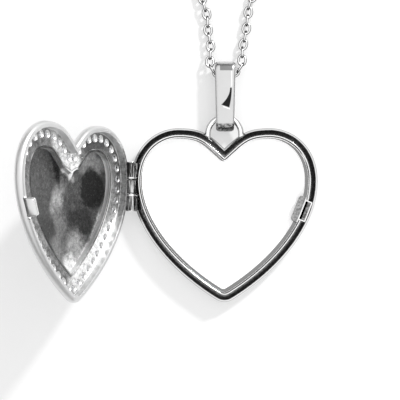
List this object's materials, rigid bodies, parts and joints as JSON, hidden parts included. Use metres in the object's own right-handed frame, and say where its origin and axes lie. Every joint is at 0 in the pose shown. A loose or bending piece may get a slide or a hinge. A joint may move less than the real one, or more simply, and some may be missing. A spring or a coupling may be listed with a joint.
{
  "type": "heart locket",
  "caption": "Open heart-shaped locket with a stone-set hinged cover, a snap catch, a strap bail on an arched ring, and a fine cable chain with a spring ring clasp.",
  "frame": {"origin": "on the flat back of the locket's back half, on its middle line and at the middle of its height", "axes": "+X across the locket away from the hinge, +Y up the locket towards the bail and chain, +Z out of the flat back towards the open face"},
  "size_m": [0.0412, 0.0683, 0.0251],
  "materials": {
    "polished_silver": "polished",
    "chain_silver": "polished",
    "findings": "polished",
    "card": "matt paper",
    "stone": "cut and clear"
  },
  "bodies": {
    "back": {"back_shell": "polished_silver", "inner_bezel": "polished_silver", "photo_card": "card", "hinge_knuckle_upper": "polished_silver", "hinge_knuckle_lower": "polished_silver", "hinge_pin": "findings", "catch_housing": "polished_silver", "hanging_ring": "polished_silver", "chain_left": "chain_silver", "chain_right": "chain_silver", "chain_coil": "chain_silver", "chain_tail": "chain_silver", "clasp_body": "findings", "clasp_spring": "findings", "clasp_loop": "findings", "clasp_link": "findings", "end_ring": "findings"},
    "cover": {"cover_shell": "polished_silver", "cover_center": "polished_silver", "hinge_knuckle_middle": "polished_silver", "catch_tab_inner": "polished_silver", "catch_tab_outer": "polished_silver", "stones_upper_left": "stone", "stones_upper_right": "stone", "stones_lower_left": "stone", "stones_lower_right": "stone"},
    "bail": {"bail": "polished_silver", "chain_bail": "chain_silver"},
    "bolt": {"clasp_bolt": "findings"}
  },
  "joints": [
    {"name": "cover_hinge", "type": "hinge", "parent": "back", "child": "cover", "pos_m": [-0.01331, 0.00394, 0.00263], "axis": [0, 1, 0], "range_deg": [0, 121]},
    {"name": "bail_swing", "type": "hinge", "parent": "back", "child": "bail", "pos_m": [0, 0.01387, 0.00155], "axis": [1, 0, 0], "range_deg": [-110, 120]},
    {"name": "clasp_bolt_turn", "type": "hinge", "parent": "back", "child": "bolt", "pos_m": [0.008, 0.0405, 0.00135], "axis": [0, 0, 1], "range_deg": [0, 45], "stiffness_Nm_per_rad": 0.002, "springref_deg": -28.65}
  ]
}
